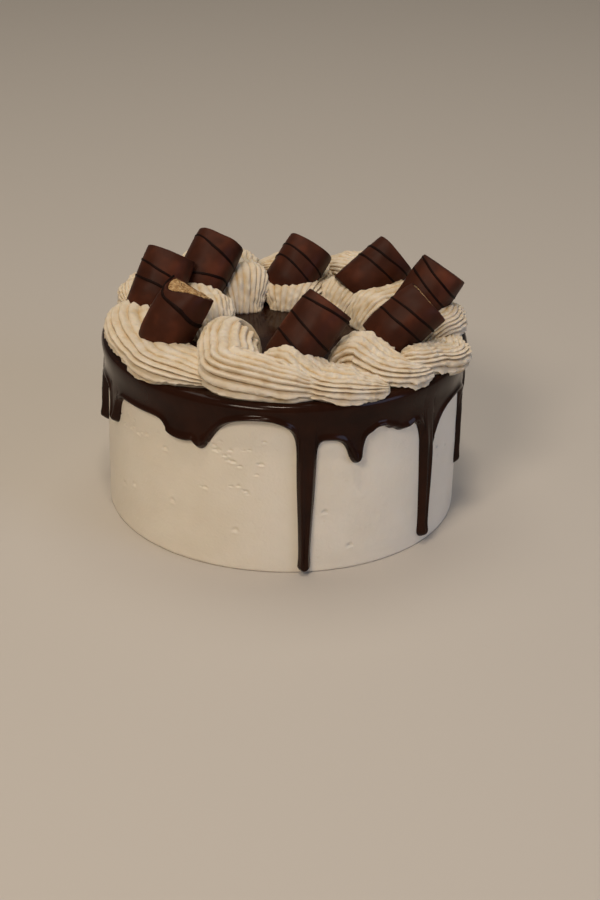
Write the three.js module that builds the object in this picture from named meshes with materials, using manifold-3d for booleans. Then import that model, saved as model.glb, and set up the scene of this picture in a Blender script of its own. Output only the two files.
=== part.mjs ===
// Chocolate hazelnut cake: a round frosted cake with a chocolate ganache that drips down its side,
// a wreath of eleven piped cream swirls round a free middle, and eight chocolate-coated wafer pieces
// pushed into the cream. Millimetres, +Z up, the origin at the centre of the flat underside, front at -Y.

import * as THREE from 'three';
import { mergeVertices } from 'three/addons/utils/BufferGeometryUtils.js';
import Module from 'manifold-3d';

const wasm = await Module();
wasm.setup();

// Driving dimensions
const BODY_RADIUS = 83;
const BODY_HEIGHT = 81.5;
const BODY_SEGMENTS = 48;
const EDGE_ROUND = 3;
const GAP = 0.3;

const GANACHE_TOP = 84.3;
const GANACHE_FLAT_RADIUS = 81.2;
const RIM_RADIUS = 85.56;
const RIM_HEIGHT = 80.65;
const SKIRT_THICKNESS = 1.7;
const SKIRT_EDGE = 66.25;
const FLARE_DEPTH = 18;
const ROUND_TIP = 4;
const SIDE_SLOPE = 60;
const DRIP_BULGE = 1.3;
const LOWEST_TIP = 0.8;
const MM_PER_DEGREE = BODY_RADIUS * Math.PI / 180;
const COLUMN_STEP = 8;
const COLUMN_MERGE = 0.3;

const CREAM_FLOOR = GANACHE_TOP + GAP;
const CREAM_RIDGES = 20;
const CREAM_RIDGE_DEPTH = 0.16;
const CREAM_BELLY = 0.38;
const CREAM_FULLNESS = 0.88;
const CREAM_HANG = 3;
const CREAM_GAP = 0.42;
const BEND_CROWDING = 1.15;
const HEAD_SHORTNESS = 0.8;
const HEAD_RISES = [0.08, 0.42, 0.75];
const BODY_STEPS = [0, 0.15, 0.33, 0.53, 0.76, 1];

const PIECE_WIDTH = 24;
const PIECE_DEPTH = 16;
const PIECE_CORNER = 2 / 2.6;
const PIECE_ROUND_STEPS = 8;
const DRIZZLE_HEIGHT = 0.55;
const DRIZZLE_WIDTH = 1.8;
const SOCKET_CLEARANCE = 0.5;
const COAT_THICKNESS = 1.4;
const BORE_PAST = 2;
const BREAK_FADE = 6;
const BREAK_WIDTH = 14;
const END_SOFTNESS = 0.95;
const MIDDLE_REACH = 7.8;

const COLOURS = {
  frosting: 0xd9cfbd,
  ganache: 0x24130d,
  cream: 0xd8c6a6,
  chocolate: 0x5a2f20,
  wafer: 0xb98a56,
};

// Drips of the ganache: angle round the cake from +X (anticlockwise, seen from above, in degrees),
// height of the tip above the underside, half-width in degrees, and how far in mm the skirt reaches
// down beside the drip, on its left and on its right
const DRIPS = [
  { angle: 16, tip: 38, half: 2.2, left: 2.4, right: 3.2 },
  { angle: 37, tip: 52, half: 2.5, left: 3, right: 2 },
  { angle: 61, tip: 24, half: 2.4, left: 1.6, right: 2.8 },
  { angle: 84, tip: 47, half: 2.3, left: 2.6, right: 1.8 },
  { angle: 109, tip: 57, half: 4.6, left: 4, right: 3 },
  { angle: 131, tip: 18, half: 2.4, left: 2, right: 3.4 },
  { angle: 154, tip: 40, half: 2.3, left: 3, right: 2.2 },
  { angle: 170, tip: 56, half: 2.2, left: 2, right: 2.4 },
  { angle: 184.5, tip: 38, half: 2.3, left: 2.4, right: 1.5 },
  { angle: 204.2, tip: 50, half: 2.6, left: 1.7, right: 2 },
  { angle: 238.4, tip: 59.8, half: 6.3, left: 2, right: 3.2 },
  { angle: 244.8, tip: 58, half: 3.2, left: 3.8, right: 5.5 },
  { angle: 278, tip: LOWEST_TIP, half: 2.5, left: 1, right: 0.8 },
  { angle: 293.5, tip: 53.2, half: 2.2, left: 2.5, right: 1 },
  { angle: 321.4, tip: 3.8, half: 2.4, left: 1.8, right: 5.2 },
  { angle: 351, tip: 22.7, half: 1.7, left: 1.8, right: 2.4 },
];
// Where the lower edge of the ganache stands higher, or sags: angle, half-width in degrees, rise
const ARCHES = [
  { angle: 260, half: 13.5, rise: 9.5 },
  { angle: 301.7, half: 2.2, rise: 1.8 },
  { angle: 310.5, half: 3.3, rise: -2.2 },
  { angle: 97, half: 8, rise: 6 },
];
// Columns of the ganache mesh across one drip, in half-widths
const DRIP_COLUMNS = [-1.6, -1.04, -0.8, 0, 0.8, 1.04, 1.6];

// Piped swirls, anticlockwise round the cake: places in plan that the nozzle passes, from the middle of
// the cake out to its rim, half of the rope's width and its height, its size at the start, and how much
// it thins out and flattens along its way
const SWIRLS = [
  { path: [[-43, -13.5], [-53, -7], [-65, -9], [-65.3, -19.5], [-56.7, -39.6], [-50.7, -49.6],
           [-37.3, -57.6], [-26.4, -62.4]],
    width: 16.4, height: 16.6, start: 0.74, thin: 0.06, flat: 0.38 },
  { path: [[-8, -41], [-15.2, -38.4], [-23.4, -40], [-24.4, -49.7], [-22.5, -61.7], [-20.8, -67.5],
           [-4.7, -72.1], [8, -72.6], [20.4, -69]],
    width: 14.2, height: 21.1, start: 0.6, thin: 0.26, flat: 0.1 },
  { path: [[-6, -52], [-0.5, -59.2], [17.3, -67.7], [30.3, -67.2], [37, -66.5], [46.8, -64.6]],
    width: 15, height: 17.2, start: 0.95, thin: 0.26, flat: 0.41 },
  { path: [[20.5, -43], [35, -45], [48, -51], [57, -49.5], [62.8, -44], [66, -36.3]],
    width: 15.8, height: 17.8, start: 0.81, thin: 0.59, flat: 0.43 },
  { path: [[52, -38], [59.4, -42], [68.2, -35.4], [74.8, -29], [74.9, -13], [71, -5]],
    width: 10.6, height: 10.6, start: 0.79, thin: 0.39, flat: 0.31 },
  { path: [[60, -6], [67, -7], [72, -1], [71, 12], [64, 26]],
    width: 13, height: 13, start: 0.7, thin: 0.2 },
  { path: [[31, 2], [44, 10], [58, 24], [60, 37], [50, 50]],
    width: 15, height: 16, start: 0.7, thin: 0.2 },
  { path: [[20, 18], [33, 33], [43, 49], [38, 61], [14, 70]],
    width: 15, height: 14, start: 0.65, thin: 0.1 },
  { path: [[0, 19], [4, 36], [8, 58], [0, 68], [-16, 69]],
    width: 15, height: 13, start: 0.65, thin: 0.2 },
  { path: [[-19, 15], [-23, 34], [-31, 56], [-42, 58], [-54, 47]],
    width: 15, height: 20, start: 0.6, thin: 0.2 },
  { path: [[-32, -19], [-37, -4], [-46, 14], [-60, 28], [-68, 20], [-69, 4]],
    width: 14, height: 18.5, start: 0.7, thin: 0.2 },
];

// Wafer pieces: centre of the flat side, turn about +Z, lean of the crown above the horizontal,
// roll in the piece's own plane (degrees), length, and the drizzle lines across the crown
// (place along the length at the middle, slope). open names the broken end where the filling shows, and
// breakLean how far that end leans back on its left side, in mm for each mm of depth.
const PIECES = [
  { at: [-58.6, 6, 102.2], turn: -4.4, lean: 26.6, roll: 17.9, length: 31.5,
    drizzle: [[-1, -0.08], [5.8, -0.16]] },
  { at: [-37.7, 25.7, 103.1], turn: 2.5, lean: 36.6, roll: 25.2, length: 30.8,
    drizzle: [[-6.9, 0.3], [7.6, -0.28]] },
  { at: [-48, -27.6, 99.9], turn: -22, lean: 22, roll: 21.5, length: 30.8,
    drizzle: [[8.8, -0.52]], open: 'upper', breakLean: 0.55 },
  { at: [3.8, 42.6, 95.3], turn: 5.3, lean: 33.2, roll: 32.5, length: 30.7,
    drizzle: [[-0.9, -0.23], [6.3, -0.17]], open: 'lower', breakLean: 0.3 },
  { at: [41.7, 33.9, 98.9], turn: 1.3, lean: 27.7, roll: 48.5, length: 29.9,
    drizzle: [[2.6, 0.13], [9.2, 0.19]] },
  { at: [66.1, 9, 99], turn: -14.9, lean: 26.6, roll: 27.9, length: 30.5,
    drizzle: [[3.8, -0.32], [10.4, -0.3]] },
  { at: [54.9, -23.8, 97.9], turn: -21, lean: 36, roll: 38.7, length: 30.3,
    drizzle: [[-1.6, 0.15], [5.5, 0.19]], open: 'upper', breakLean: 0.1 },
  { at: [11.6, -44.5, 100.1], turn: -18.5, lean: 34.5, roll: 26, length: 33.5,
    drizzle: [[-8, -0.2], [1.7, -0.22], [13, 0.1]] },
];

const toRadians = (degrees) => degrees * Math.PI / 180;
const clamp01 = (x) => Math.min(1, Math.max(0, x));
const ease = (x) => clamp01(x) ** 2 * (3 - 2 * clamp01(x));
const angleBetween = (a, b) => ((a - b + 900) % 360) - 180;

// One closed skin through a list of rings with the same number of points, capped at both ends
function skin(rings, firstPole, lastPole) {
  const size = rings[0].length;
  const centre = (ring) => ring.reduce((sum, p) => sum.add(p), new THREE.Vector3()).divideScalar(size);
  const points = [...rings.flat(), firstPole ?? centre(rings[0]), lastPole ?? centre(rings.at(-1))];
  const first = points.length - 2;
  const last = points.length - 1;
  const faces = [];
  for (let row = 0; row + 1 < rings.length; row += 1) {
    for (let i = 0; i < size; i += 1) {
      const a = row * size + i;
      const b = row * size + (i + 1) % size;
      faces.push([a, b, a + size], [b, b + size, a + size]);
    }
  }
  const lastRow = (rings.length - 1) * size;
  for (let i = 0; i < size; i += 1) {
    const next = (i + 1) % size;
    faces.push([i, first, next], [lastRow + i, lastRow + next, last]);
  }
  let volume = 0;
  const cross = new THREE.Vector3();
  for (const [a, b, c] of faces) {
    volume += points[a].dot(cross.crossVectors(points[b], points[c]));
  }
  const turned = volume < 0 ? faces.map(([a, b, c]) => [a, c, b]) : faces;
  const geometry = new THREE.BufferGeometry();
  geometry.setAttribute('position', new THREE.Float32BufferAttribute(points.flatMap((p) => p.toArray()), 3));
  geometry.setIndex(turned.flat());
  return geometry;
}

// The same skin pushed out along its normals, as a cutter that leaves a gap
function grown(geometry, distance) {
  const copy = geometry.clone();
  copy.computeVertexNormals();
  const { position, normal } = copy.attributes;
  for (let i = 0; i < position.count; i += 1) {
    position.setXYZ(
      i,
      position.getX(i) + normal.getX(i) * distance,
      position.getY(i) + normal.getY(i) * distance,
      position.getZ(i) + normal.getZ(i) * distance,
    );
  }
  return copy;
}

function solidOf(geometry) {
  const bare = geometry.clone();
  bare.deleteAttribute('normal');
  bare.deleteAttribute('uv');
  const merged = mergeVertices(bare);
  return new wasm.Manifold(new wasm.Mesh({
    numProp: 3,
    vertProperties: new Float32Array(merged.attributes.position.array),
    triVerts: new Uint32Array(merged.index.array),
  }));
}

function geometryOf(solid) {
  const { vertProperties, triVerts } = solid.getMesh();
  const geometry = new THREE.BufferGeometry();
  geometry.setAttribute('position', new THREE.Float32BufferAttribute(vertProperties, 3));
  geometry.setIndex(Array.from(triVerts));
  return geometry;
}

// A cut can leave crumbs beside the main body, and only the main body stays
function largestBody(solid) {
  const bodies = solid.decompose();
  return bodies.reduce((best, body) => (body.volume() > best.volume() ? body : best));
}

function lathe(profile, segments) {
  const points = profile.map(([radius, height]) => new THREE.Vector2(radius, height));
  return new THREE.LatheGeometry(points, segments).rotateX(Math.PI / 2);
}

// Frosted cake body
function cakeBody() {
  return lathe([
    [0, 0],
    [BODY_RADIUS - 1, 0],
    [BODY_RADIUS, 1],
    [BODY_RADIUS, BODY_HEIGHT - EDGE_ROUND],
    [BODY_RADIUS - EDGE_ROUND, BODY_HEIGHT],
    [0, BODY_HEIGHT],
  ], BODY_SEGMENTS);
}

// Height of the ganache's lower edge at an angle: a wavy skirt with arches, which sinks on both sides
// towards every drip; a drip has steep sides and a round tip
function ganacheEdge(angle) {
  let edge = SKIRT_EDGE + 0.3 * Math.sin(toRadians(5 * angle)) + 0.35 * Math.sin(toRadians(11 * angle + 40));
  for (const arch of ARCHES) {
    const x = Math.abs(angleBetween(angle, arch.angle)) / arch.half;
    edge += arch.rise * Math.exp(-0.7 * x ** 4);
  }
  let sinking = 0;
  let streams = BODY_HEIGHT;
  for (const drip of DRIPS) {
    const aside = angleBetween(angle, drip.angle) * MM_PER_DEGREE;
    const wide = drip.half * MM_PER_DEGREE;
    const beyond = Math.max(Math.abs(aside) - wide, 0);
    const reach = aside < 0 ? drip.left : drip.right;
    const rounding = Math.min(wide, ROUND_TIP);
    const flare = Math.min(Math.max(edge - drip.tip - rounding, 0), FLARE_DEPTH);
    sinking += (flare * Math.exp(-beyond / reach)) ** 3;
    const share = Math.min(Math.abs(aside) / wide, 0.98);
    const tip = drip.tip + rounding * (1 - Math.sqrt(1 - share ** 2));
    streams = Math.min(streams, tip + SIDE_SLOPE * Math.max(Math.abs(aside) - 0.98 * wide, 0));
  }
  return Math.max(LOWEST_TIP, Math.min(edge - Math.cbrt(sinking), streams));
}

// How far the middle of a drip stands out from the skirt
function dripBulge(angle) {
  let bulge = 0;
  for (const drip of DRIPS) {
    const x = angleBetween(angle, drip.angle) / (1.25 * drip.half);
    bulge = Math.max(bulge, DRIP_BULGE * (1 - x * x));
  }
  return bulge;
}

// Angles of the mesh columns: a fan across each drip, even steps between
function ganacheColumns() {
  const angles = DRIPS.flatMap((drip) => DRIP_COLUMNS.map((x) => drip.angle + x * drip.half));
  angles.sort((a, b) => a - b);
  const spaced = angles.filter((angle, i) => i === 0 || angle - angles[i - 1] > COLUMN_MERGE);
  return spaced.flatMap((angle, i) => {
    const next = i + 1 < spaced.length ? spaced[i + 1] : spaced[0] + 360;
    const parts = Math.ceil((next - angle) / COLUMN_STEP);
    return Array.from({ length: parts }, (_, k) => angle + (next - angle) * k / parts);
  });
}

function ganache() {
  const inner = BODY_RADIUS + GAP;
  const outer = inner + SKIRT_THICKNESS;
  const columns = ganacheColumns().map((angle) => ({
    angle: toRadians(angle),
    edge: ganacheEdge(angle),
    bulge: dripBulge(angle),
  }));
  const rowRules = [
    () => [GANACHE_FLAT_RADIUS, GANACHE_TOP],
    () => [RIM_RADIUS - 1.5, GANACHE_TOP - 1],
    () => [RIM_RADIUS, RIM_HEIGHT],
    ({ edge, bulge }) => [outer + 0.8 * bulge, edge + 6],
    ({ edge, bulge }) => [outer + bulge, edge + 2.2],
    ({ edge, bulge }) => [outer - 0.5 + 0.8 * bulge, edge + 0.6],
    ({ edge }) => [inner, edge],
    () => [inner, BODY_HEIGHT - EDGE_ROUND + 0.1],
    () => [BODY_RADIUS - EDGE_ROUND + 0.2, BODY_HEIGHT + GAP],
  ];
  const rings = rowRules.map((rule) => columns.map((column) => {
    const [radius, height] = rule(column);
    return new THREE.Vector3(radius * Math.cos(column.angle), radius * Math.sin(column.angle), height);
  }));
  const topPole = new THREE.Vector3(0, 0, GANACHE_TOP);
  const underPole = new THREE.Vector3(0, 0, BODY_HEIGHT + GAP);
  return skin(rings, topPole, underPole);
}

// What the cream and the pieces stand on: the ganache's top and rim, enlarged by the gap
function creamFloor() {
  return lathe([
    [0, BODY_HEIGHT / 2],
    [RIM_RADIUS + GAP, BODY_HEIGHT / 2],
    [RIM_RADIUS + GAP, RIM_HEIGHT],
    [RIM_RADIUS - 1.5 + GAP, CREAM_FLOOR - 0.9],
    [GANACHE_FLAT_RADIUS + GAP, CREAM_FLOOR],
    [0, CREAM_FLOOR],
  ], BODY_SEGMENTS);
}

// Angles round the rope's section: two to each ridge over the crown, a few below it
function sectionAngles() {
  const crown = Array.from({ length: CREAM_RIDGES + 1 }, (_, i) => Math.PI * i / CREAM_RIDGES);
  return [...crown, 1.2 * Math.PI, 1.8 * Math.PI];
}

// One piped rope with star-nozzle ridges. The cream wells up where the stroke starts, so the first
// sections lie flat and rise about a line on the floor; the crown then thins out to the tail.
function swirlSkin(swirl) {
  const { width, height, start, thin, flat = 0 } = swirl;
  const places = swirl.path.map(([x, y]) => new THREE.Vector3(x, y, 0));
  const path = new THREE.CatmullRomCurve3(places, false, 'catmullrom', 0.5);
  const total = path.getLength();
  const pivot = HEAD_SHORTNESS * height;
  const stations = [
    ...HEAD_RISES.map((rise) => ({ distance: pivot * (0.7 + 0.3 * rise), rise })),
    ...BODY_STEPS.map((step) => ({ distance: pivot + (total - pivot) * step, rise: 1 })),
  ];
  for (const station of stations) {
    const u = station.distance / total;
    const before = path.getTangentAt(Math.max(u - 0.05, 0));
    const after = path.getTangentAt(Math.min(u + 0.05, 1));
    station.middle = path.getPointAt(u);
    station.way = path.getTangentAt(u);
    station.bend = Math.max((before.x * after.y - before.y * after.x) / (0.1 * total), 0);
  }
  const rings = stations.map(({ distance, rise, middle, way, bend }) => {
    const tilt = (1 - rise) * Math.PI / 2;
    const tail = 0.3 + 0.7 * Math.sqrt(clamp01((total - distance) / width));
    const share = distance / total;
    const thinning = 1 - thin * ease((share - 0.45) / 0.55);
    const flatter = 1 - flat * ease((share - 0.15) / 0.4);
    const size = (start + (1 - start) * ease(rise)) * tail * thinning;
    const crown = height * size * flatter;
    return sectionAngles().map((angle) => {
      const ridge = 1 - CREAM_RIDGE_DEPTH * (1 - Math.abs(Math.cos(CREAM_RIDGES * angle / 2)));
      const cos = Math.cos(angle);
      const sin = Math.sin(angle);
      const spread = width * size * Math.sign(cos) * Math.abs(cos) ** CREAM_FULLNESS * ridge;
      const side = spread / (1 + Math.max(0, spread * bend * BEND_CROWDING) ** 4) ** 0.25;
      const up = sin >= 0
        ? CREAM_BELLY + (1 - CREAM_BELLY) * sin ** CREAM_FULLNESS * ridge
        : CREAM_BELLY * (1 + 1.9 * sin);
      const ahead = -HEAD_SHORTNESS * crown * up * Math.sin(tilt);
      const x = middle.x - way.y * side + way.x * ahead;
      const y = middle.y + way.x * side + way.y * ahead;
      const over = Math.min(Math.max(Math.hypot(x, y) - GANACHE_FLAT_RADIUS, 0), 4.4);
      const drop = Math.min(4.4 - Math.sqrt(4.4 ** 2 - over ** 2), CREAM_HANG);
      const low = 1 - clamp01(up / 0.5);
      const high = crown * up * Math.cos(tilt);
      return new THREE.Vector3(x, y, CREAM_FLOOR + high - drop * low - 0.4 * (1 - clamp01(high / 2)));
    });
  });
  return skin(rings);
}

// Loaf-shaped section across a piece, flat side down, from its right corner over the crown
function loafRing(y, width, depth, shear, raise) {
  return Array.from({ length: PIECE_ROUND_STEPS + 1 }, (_, i) => {
    const angle = Math.PI * i / PIECE_ROUND_STEPS;
    const cos = Math.cos(angle);
    const x = Math.sign(cos) * Math.abs(cos) ** PIECE_CORNER * width / 2;
    const z = Math.sin(angle) ** PIECE_CORNER * depth;
    const lift = i === 0 || i === PIECE_ROUND_STEPS ? 0 : raise;
    return new THREE.Vector3(x * (1 + lift / PIECE_WIDTH), y + shear * x, z + lift * Math.sin(angle));
  });
}

// Bends the rings of a piece so that its broken end leans back on the left, less and less along the piece
function leaned(piece, point) {
  const along = clamp01(0.5 + point.y / piece.length);
  const share = piece.open === 'lower' ? -((1 - along) ** 2) : along ** 2;
  const left = clamp01((BREAK_FADE - point.x) / BREAK_WIDTH);
  point.y -= (piece.breakLean ?? 0) * share * left * point.z;
  return point;
}

// Rings of a piece between two places along it, inset from its surface
function loafRings(piece, rows, inset) {
  const half = piece.length / 2;
  return rows.map(({ y, shear = 0, raise = 0, soft = 1 }) => {
    const v = Math.min(Math.abs(y) / half, 1);
    const depth = PIECE_DEPTH * (1 - 0.22 * v ** 3) * soft - inset;
    const width = PIECE_WIDTH * (1 - 0.03 * v ** 4) * soft - 2 * inset;
    const ring = loafRing(y, width, depth, shear, raise);
    return ring.map((p) => leaned(piece, p.setZ(Math.max(p.z, inset))));
  });
}

// The coated piece: softened ends, a full middle, and three rows for each ridge of drizzle
function coatSkin(piece) {
  const end = 0.995 * piece.length / 2;
  const shoulder = 0.9 * piece.length / 2;
  const rows = [
    { y: -end, soft: piece.open === 'lower' ? 1 : END_SOFTNESS },
    { y: -shoulder },
    { y: shoulder },
    { y: end, soft: piece.open === 'upper' ? 1 : END_SOFTNESS },
  ];
  for (const [y, shear] of piece.drizzle) {
    rows.push({ y: y - DRIZZLE_WIDTH / 2, shear });
    rows.push({ y, shear, raise: DRIZZLE_HEIGHT });
    rows.push({ y: y + DRIZZLE_WIDTH / 2, shear });
  }
  if (piece.drizzle.every(([y]) => Math.abs(y) > MIDDLE_REACH)) {
    rows.push({ y: 0 });
  }
  rows.sort((a, b) => a.y - b.y);
  return skin(loafRings(piece, rows, 0));
}

// The filling of a broken piece, from its open end to the coat at the other; past lengthens it
// beyond the open end
function fillingSkin(piece, inset, past) {
  const end = 0.995 * piece.length / 2;
  const from = piece.open === 'lower' ? -end - past : -end + inset;
  const to = piece.open === 'upper' ? end + past : end - inset;
  return skin(loafRings(piece, [from, 0, to].map((y) => ({ y })), inset));
}

// The piece's own axes in the cake's frame: x across, y along, z out of the crown
function pieceMatrix({ at, turn, lean, roll }) {
  const stand = new THREE.Matrix4().makeBasis(
    new THREE.Vector3(1, 0, 0),
    new THREE.Vector3(0, Math.sin(toRadians(lean)), Math.cos(toRadians(lean))),
    new THREE.Vector3(0, -Math.cos(toRadians(lean)), Math.sin(toRadians(lean))),
  );
  return new THREE.Matrix4().makeTranslation(...at)
    .multiply(new THREE.Matrix4().makeRotationZ(toRadians(turn)))
    .multiply(stand)
    .multiply(new THREE.Matrix4().makeRotationZ(toRadians(-roll)));
}

// Enlarged piece that cuts its socket into the cream
function socketOf(piece) {
  return grown(coatSkin(piece), SOCKET_CLEARANCE).applyMatrix4(pieceMatrix(piece));
}

function makeMesh(name, geometry, colour, roughness) {
  const material = new THREE.MeshStandardMaterial({ color: colour, roughness, metalness: 0 });
  const mesh = new THREE.Mesh(geometry, material);
  mesh.name = name;
  return mesh;
}

const cake = new THREE.Group();
cake.add(makeMesh('cake_body', cakeBody(), COLOURS.frosting, 0.6));
cake.add(makeMesh('ganache', ganache(), COLOURS.ganache, 0.15));

const floor = solidOf(creamFloor());
const sockets = PIECES.map((piece) => solidOf(socketOf(piece)));
const skins = SWIRLS.map(swirlSkin);
const cutters = skins.map((geometry) => solidOf(grown(geometry, CREAM_GAP)).add(solidOf(geometry)));

skins.forEach((geometry, i) => {
  let swirl = solidOf(geometry).subtract(floor);
  swirl = swirl.subtract(cutters[(i + 1) % SWIRLS.length]);
  swirl = swirl.subtract(cutters[(i + 2) % SWIRLS.length]);
  for (const socket of sockets) {
    swirl = swirl.subtract(socket);
  }
  const name = `cream_swirl_${String(i + 1).padStart(2, '0')}`;
  cake.add(makeMesh(name, geometryOf(largestBody(swirl)), COLOURS.cream, 0.5));
});

PIECES.forEach((piece, i) => {
  const matrix = pieceMatrix(piece);
  let coat = solidOf(coatSkin(piece).applyMatrix4(matrix)).subtract(floor);
  if (piece.open) {
    const bore = solidOf(fillingSkin(piece, COAT_THICKNESS - GAP, BORE_PAST).applyMatrix4(matrix));
    const filling = solidOf(fillingSkin(piece, COAT_THICKNESS, 0).applyMatrix4(matrix));
    coat = coat.subtract(bore);
    const core = geometryOf(largestBody(filling.subtract(floor)));
    cake.add(makeMesh(`wafer_core_${i + 1}`, core, COLOURS.wafer, 0.9));
  }
  cake.add(makeMesh(`wafer_piece_${i + 1}`, geometryOf(largestBody(coat)), COLOURS.chocolate, 0.4));
});

export default cake;
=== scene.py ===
# %% [markdown]
# # A drip cake with piped cream and wafer pieces
#
# This lesson dresses a chocolate hazelnut cake. The packed model gives the true sizes: a round
# frosted body, a ganache that runs over the rim, eleven piped swirls and eight coated wafer pieces.
# Each of those plain solids is replaced by a fine mesh of the same form, made here with numpy,
# and each finish is a material made of nodes. Lengths on the cake are written in millimetres and
# turned into metres when a mesh is made. Only the lamps and the floor are placed in metres.

# %% Start from the packed model
import math
import time

import bpy
import numpy as np
from mathutils import Matrix, Vector
from mathutils.kdtree import KDTree


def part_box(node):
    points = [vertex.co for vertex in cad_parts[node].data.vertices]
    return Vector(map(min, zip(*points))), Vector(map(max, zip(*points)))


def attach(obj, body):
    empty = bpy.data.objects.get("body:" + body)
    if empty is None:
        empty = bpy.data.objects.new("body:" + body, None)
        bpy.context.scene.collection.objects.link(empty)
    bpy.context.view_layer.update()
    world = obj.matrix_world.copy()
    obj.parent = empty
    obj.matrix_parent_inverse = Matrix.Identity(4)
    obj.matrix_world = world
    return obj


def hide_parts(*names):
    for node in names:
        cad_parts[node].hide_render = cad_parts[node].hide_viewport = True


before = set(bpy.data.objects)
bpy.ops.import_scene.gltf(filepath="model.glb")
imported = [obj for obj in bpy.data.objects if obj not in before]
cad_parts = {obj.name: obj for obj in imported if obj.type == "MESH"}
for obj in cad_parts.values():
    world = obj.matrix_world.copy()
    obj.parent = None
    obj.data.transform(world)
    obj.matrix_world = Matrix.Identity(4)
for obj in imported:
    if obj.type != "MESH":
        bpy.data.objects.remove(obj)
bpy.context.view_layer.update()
started = time.time()
MM = 0.001
body_low, body_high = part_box("cake_body")
BODY_RADIUS = body_high.x / MM
BODY_TOP = body_high.z / MM
GANACHE_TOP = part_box("ganache")[1].z / MM
print("body radius", round(BODY_RADIUS, 2), "top", round(BODY_TOP, 2), "ganache top", round(GANACHE_TOP, 2))

# %% [markdown]
# ## Where the eye stands
#
# The cake is seen from the front and a little above. The camera could be aimed with a constraint,
# but it is also tipped by a degree and a half, so its matrix is built from its own three axes: right,
# up and back. A long lens far away keeps the sides of the cake nearly upright, as they are in life.

# %% Camera
TARGET = Vector((8.57, 0.0, 20.70)) * MM
DISTANCE = 934.74 * MM
ELEVATION = math.radians(26.571)
TIP = math.radians(1.460)
LENS = 77.264

back = Vector((0.0, -math.cos(ELEVATION), math.sin(ELEVATION)))
level = Vector((1.0, 0.0, 0.0))
upright = back.cross(level)
right = math.cos(TIP) * level + math.sin(TIP) * upright
up = math.cos(TIP) * upright - math.sin(TIP) * level

camera_data = bpy.data.cameras.new("camera")
camera_data.lens = LENS
camera_data.clip_start = 0.05
camera = bpy.data.objects.new("camera", camera_data)
bpy.context.scene.collection.objects.link(camera)
place = TARGET + DISTANCE * back
camera.matrix_world = Matrix((
    (right.x, up.x, back.x, place.x),
    (right.y, up.y, back.y, place.y),
    (right.z, up.z, back.z, place.z),
    (0.0, 0.0, 0.0, 1.0),
))
bpy.context.scene.camera = camera
print("camera stands at", [round(value, 3) for value in place])

# %% [markdown]
# ## Tones
#
# Colours are easiest to judge as the 0 to 255 values that a picture shows, but a shader wants
# linear light. One helper turns the first into the second. The plain view transform keeps what
# the lights and the colours give, with no film look added.

# %% Tone helper
bpy.context.scene.view_settings.view_transform = "Standard"


def tone(red, green, blue):
    """A screen colour from 0 to 255 as a linear colour with full opacity."""
    def linear(value):
        share = value / 255
        return share / 12.92 if share <= 0.04045 else ((share + 0.055) / 1.055) ** 2.4
    return (linear(red), linear(green), linear(blue), 1.0)


print("a screen value of 128 is", round(tone(128, 128, 128)[0], 3), "in linear light")

# %% [markdown]
# ## Light and floor
#
# Warm soft light comes from the front left and above, a cooler and weaker one from the right, and
# a wide lamp overhead lights the cream from the back. A pale sky fills the shadows. Wide lamps would
# lay a grey sheen over the ganache, so their share in its highlights is taken away or kept small,
# and a small lamp high above the front edge draws the thin bright lines instead. A plain pale floor
# stands in for the table.

# %% Lamps, sky and floor
def soft_lamp(name, place, aim, size, power, colour):
    """A rectangular lamp at a place, turned towards what it aims at."""
    data = bpy.data.lights.new(name, "AREA")
    data.shape = "RECTANGLE"
    data.size = size[0]
    data.size_y = size[1]
    data.energy = power
    data.color = colour
    lamp = bpy.data.objects.new(name, data)
    bpy.context.scene.collection.objects.link(lamp)
    lamp.location = place
    lamp.rotation_euler = (Vector(aim) - Vector(place)).to_track_quat("-Z", "Y").to_euler()
    return lamp


WARM = (1.0, 0.86, 0.70)
COOL = (0.50, 0.65, 1.0)
CAKE_MIDDLE = (0.0, 0.0, 0.06)
key = soft_lamp("key_lamp", (-0.55, -1.2, 1.2), CAKE_MIDDLE, (0.45, 0.4), 10.9, WARM)
key.data.specular_factor = 0.0
fill = soft_lamp("fill_lamp", (1.35, -0.75, 0.58), CAKE_MIDDLE, (0.8, 0.8), 5.2, COOL)
fill.data.specular_factor = 0.0
top = soft_lamp("top_lamp", (-0.1, 0.45, 1.5), CAKE_MIDDLE, (1.2, 0.8), 6.5, (1.0, 0.92, 0.80))
top.data.specular_factor = 0.15
soft_lamp("spark_lamp", (-0.04, -0.45, 1.45), CAKE_MIDDLE, (0.20, 0.05), 4.4, WARM)

world = bpy.data.worlds.new("pale_sky")
world.use_nodes = True
sky = world.node_tree.nodes["Background"]
sky.inputs["Color"].default_value = (1.0, 0.93, 0.85, 1.0)
sky.inputs["Strength"].default_value = 0.13
bpy.context.scene.world = world

FLOOR_SIZE = 6.0
bpy.ops.mesh.primitive_plane_add(size=FLOOR_SIZE, location=(0.0, 0.0, body_low.z))
floor = bpy.context.object
floor.name = "floor"
paper = bpy.data.materials.new("pale_floor")
paper.use_nodes = True
paper_shader = paper.node_tree.nodes["Principled BSDF"]
paper_shader.inputs["Base Color"].default_value = tone(198, 191, 182)
paper_shader.inputs["Roughness"].default_value = 0.8
floor.data.materials.append(paper)
print("four lamps, a sky and a floor of", FLOOR_SIZE, "m")

# %% [markdown]
# ## Unevenness by rule
#
# Food made by hand is never quite even. Value noise gives that: each point of a cubic lattice gets
# a fixed random value, worked out from its whole-number place by mixing bits, and the values
# between the lattice points are blended. The same seed always gives the same bumps, so the cake
# comes out the same each time.

# %% Soft randomness
CORNERS = [(i, j, k) for i in (0, 1) for j in (0, 1) for k in (0, 1)]


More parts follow.
